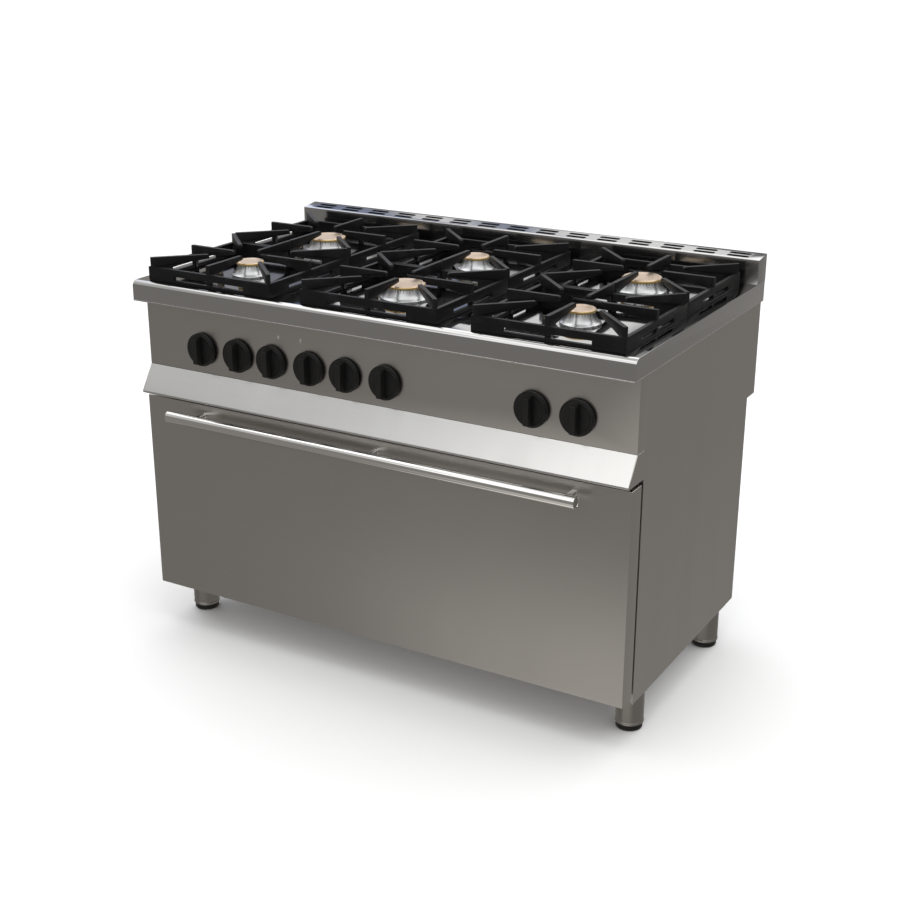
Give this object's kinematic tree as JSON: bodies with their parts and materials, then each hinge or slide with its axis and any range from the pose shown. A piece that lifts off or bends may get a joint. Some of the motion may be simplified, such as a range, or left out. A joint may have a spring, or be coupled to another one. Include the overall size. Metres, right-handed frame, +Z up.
{
  "type": "gas range",
  "caption": "Free-standing commercial gas range: open burners under lift-off cast grates, a slotted rear flue, tap knobs, and a full-width oven with a drop-down door.",
  "frame": {"origin": "on the floor under the middle of the overall box (feet pads down, handle front to flue back)", "axes": "+X to the right seen from the front, +Y to the back, +Z up; the oven door and knobs face -Y"},
  "size_m": [1.2, 0.738, 0.9],
  "materials": {
    "brushed_panel": "satin",
    "bright_steel": "satin",
    "galvanised_steel": "matte",
    "polished_tube": "polished",
    "enamelled_iron": "satin",
    "oven_enamel": "gloss",
    "raw_iron": "matte",
    "polished_aluminium": "polished",
    "brass": "satin",
    "copper_tube": "satin",
    "mineral_wool": "matte",
    "black_plastic": "satin",
    "seal_rope": "matte"
  },
  "bodies": {
    "range": {"side_panel_left": "brushed_panel", "side_panel_right": "brushed_panel", "back_panel": "galvanised_steel", "base_frame": "galvanised_steel", "front_frame": "galvanised_steel", "control_panel": "brushed_panel", "heat_deflector": "bright_steel", "hob_top": "bright_steel", "hob_rails": "galvanised_steel", "flue_duct": "galvanised_steel", "flue_riser": "bright_steel", "oven_liner": "oven_enamel", "oven_insulation": "mineral_wool", "oven_sole_plate": "oven_enamel", "oven_burner": "galvanised_steel", "rack_guides": "polished_tube", "oven_rack": "polished_tube", "gas_manifold": "galvanised_steel", "gas_inlet_pipe": "galvanised_steel", "gas_taps": "brass", "supply_tubes": "copper_tube", "burner_cups": "raw_iron", "burner_heads": "polished_aluminium", "burner_caps": "brass", "pilot_burners": "brass", "leg_tubes": "polished_tube", "hinge_brackets": "galvanised_steel", "fasteners": "bright_steel"},
    "door": {"door_outer": "brushed_panel", "door_inner": "bright_steel", "door_insulation": "mineral_wool", "door_seal": "seal_rope", "door_handle": "polished_tube", "door_hinge_ears": "galvanised_steel"},
    "spindle_1": {"spindle_1": "brass"},
    "knob_1": {"knob_1": "black_plastic"},
    "spindle_2": {"spindle_2": "brass"},
    "knob_2": {"knob_2": "black_plastic"},
    "spindle_3": {"spindle_3": "brass"},
    "knob_3": {"knob_3": "black_plastic"},
    "spindle_4": {"spindle_4": "brass"},
    "knob_4": {"knob_4": "black_plastic"},
    "spindle_5": {"spindle_5": "brass"},
    "knob_5": {"knob_5": "black_plastic"},
    "spindle_6": {"spindle_6": "brass"},
    "knob_6": {"knob_6": "black_plastic"},
    "spindle_7": {"spindle_7": "brass"},
    "knob_7": {"knob_7": "black_plastic"},
    "spindle_8": {"spindle_8": "brass"},
    "knob_8": {"knob_8": "black_plastic"},
    "grate_1": {"grate_1": "enamelled_iron"},
    "grate_2": {"grate_2": "enamelled_iron"},
    "grate_3": {"grate_3": "enamelled_iron"},
    "grate_4": {"grate_4": "enamelled_iron"},
    "grate_5": {"grate_5": "enamelled_iron"},
    "grate_6": {"grate_6": "enamelled_iron"},
    "foot_1": {"foot_1": "black_plastic"},
    "foot_2": {"foot_2": "black_plastic"},
    "foot_3": {"foot_3": "black_plastic"},
    "foot_4": {"foot_4": "black_plastic"}
  },
  "joints": [
    {"name": "door_hinge", "type": "hinge", "parent": "range", "child": "door", "pos_m": [0, -0.275, 0.117], "axis": [1, 0, 0], "range_deg": [0, 90]},
    {"name": "tap_1_push", "type": "slide", "parent": "range", "child": "spindle_1", "axis": [0, 1, 0], "range_m": [0, 0.003], "stiffness_N_per_m": 1500, "springref_m": -0.004},
    {"name": "knob_1_turn", "type": "hinge", "parent": "spindle_1", "child": "knob_1", "pos_m": [-0.442, -0.301, 0.697], "axis": [0, -1, 0], "range_deg": [0, 180]},
    {"name": "tap_2_push", "type": "slide", "parent": "range", "child": "spindle_2", "axis": [0, 1, 0], "range_m": [0, 0.003], "stiffness_N_per_m": 1500, "springref_m": -0.004},
    {"name": "knob_2_turn", "type": "hinge", "parent": "spindle_2", "child": "knob_2", "pos_m": [-0.344, -0.301, 0.697], "axis": [0, -1, 0], "range_deg": [0, 180]},
    {"name": "tap_3_push", "type": "slide", "parent": "range", "child": "spindle_3", "axis": [0, 1, 0], "range_m": [0, 0.003], "stiffness_N_per_m": 1500, "springref_m": -0.004},
    {"name": "knob_3_turn", "type": "hinge", "parent": "spindle_3", "child": "knob_3", "pos_m": [-0.254, -0.301, 0.697], "axis": [0, -1, 0], "range_deg": [0, 180]},
    {"name": "tap_4_push", "type": "slide", "parent": "range", "child": "spindle_4", "axis": [0, 1, 0], "range_m": [0, 0.003], "stiffness_N_per_m": 1500, "springref_m": -0.004},
    {"name": "knob_4_turn", "type": "hinge", "parent": "spindle_4", "child": "knob_4", "pos_m": [-0.156, -0.301, 0.697], "axis": [0, -1, 0], "range_deg": [0, 180]},
    {"name": "tap_5_push", "type": "slide", "parent": "range", "child": "spindle_5", "axis": [0, 1, 0], "range_m": [0, 0.003], "stiffness_N_per_m": 1500, "springref_m": -0.004},
    {"name": "knob_5_turn", "type": "hinge", "parent": "spindle_5", "child": "knob_5", "pos_m": [-0.065, -0.301, 0.697], "axis": [0, -1, 0], "range_deg": [0, 180]},
    {"name": "tap_6_push", "type": "slide", "parent": "range", "child": "spindle_6", "axis": [0, 1, 0], "range_m": [0, 0.003], "stiffness_N_per_m": 1500, "springref_m": -0.004},
    {"name": "knob_6_turn", "type": "hinge", "parent": "spindle_6", "child": "knob_6", "pos_m": [0.034, -0.301, 0.697], "axis": [0, -1, 0], "range_deg": [0, 180]},
    {"name": "tap_7_push", "type": "slide", "parent": "range", "child": "spindle_7", "axis": [0, 1, 0], "range_m": [0, 0.003], "stiffness_N_per_m": 1500, "springref_m": -0.004},
    {"name": "knob_7_turn", "type": "hinge", "parent": "spindle_7", "child": "knob_7", "pos_m": [0.371, -0.301, 0.697], "axis": [0, -1, 0], "range_deg": [0, 270]},
    {"name": "tap_8_push", "type": "slide", "parent": "range", "child": "spindle_8", "axis": [0, 1, 0], "range_m": [0, 0.003], "stiffness_N_per_m": 1500, "springref_m": -0.004},
    {"name": "knob_8_turn", "type": "hinge", "parent": "spindle_8", "child": "knob_8", "pos_m": [0.47, -0.301, 0.697], "axis": [0, -1, 0], "range_deg": [0, 270]},
    {"name": "grate_1_lift", "type": "slide", "parent": "range", "child": "grate_1", "axis": [0, 0, 1], "range_m": [0, 0.12]},
    {"name": "grate_2_lift", "type": "slide", "parent": "range", "child": "grate_2", "axis": [0, 0, 1], "range_m": [0, 0.12]},
    {"name": "grate_3_lift", "type": "slide", "parent": "range", "child": "grate_3", "axis": [0, 0, 1], "range_m": [0, 0.12]},
    {"name": "grate_4_lift", "type": "slide", "parent": "range", "child": "grate_4", "axis": [0, 0, 1], "range_m": [0, 0.12]},
    {"name": "grate_5_lift", "type": "slide", "parent": "range", "child": "grate_5", "axis": [0, 0, 1], "range_m": [0, 0.12]},
    {"name": "grate_6_lift", "type": "slide", "parent": "range", "child": "grate_6", "axis": [0, 0, 1], "range_m": [0, 0.12]},
    {"name": "foot_1_turn", "type": "hinge", "parent": "range", "child": "foot_1", "pos_m": [-0.562, -0.192, 0.01], "axis": [0, 0, 1], "continuous": true},
    {"name": "foot_2_turn", "type": "hinge", "parent": "range", "child": "foot_2", "pos_m": [0.562, -0.192, 0.01], "axis": [0, 0, 1], "continuous": true},
    {"name": "foot_3_turn", "type": "hinge", "parent": "range", "child": "foot_3", "pos_m": [-0.562, 0.238, 0.01], "axis": [0, 0, 1], "continuous": true},
    {"name": "foot_4_turn", "type": "hinge", "parent": "range", "child": "foot_4", "pos_m": [0.562, 0.238, 0.01], "axis": [0, 0, 1], "continuous": true}
  ]
}
